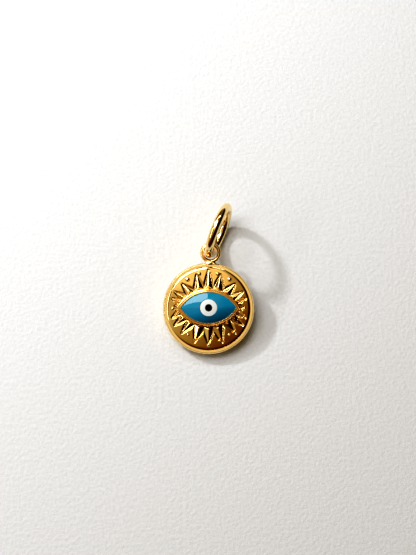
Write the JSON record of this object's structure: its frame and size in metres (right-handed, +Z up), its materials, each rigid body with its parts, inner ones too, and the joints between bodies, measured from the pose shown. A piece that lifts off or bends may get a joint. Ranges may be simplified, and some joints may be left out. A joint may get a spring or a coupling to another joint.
{
  "type": "earring charm",
  "caption": "Round gold medallion charm with a raised enamelled eye in a star of darts, a soldered hanging loop and a plain jump ring, lying face up.",
  "frame": {"origin": "bottom centre of the bounding box, on the surface that the charm lies on", "axes": "+Z up, +Y from the disc towards the jump ring along the longest extent; the disc's face looks up and a little towards -Y, because the ring holds the disc's top off the surface"},
  "size_m": [0.01, 0.0164, 0.0064],
  "materials": {
    "gold": "polished gold plate, softly satined on the field",
    "enamel_blue": "domed gloss enamel",
    "enamel_white": "gloss enamel",
    "enamel_black": "gloss enamel"
  },
  "bodies": {
    "root": {"medallion": "gold", "enamel_blue": "enamel_blue", "enamel_white": "enamel_white", "enamel_black": "enamel_black", "jump_ring": "gold"}
  },
  "joints": []
}
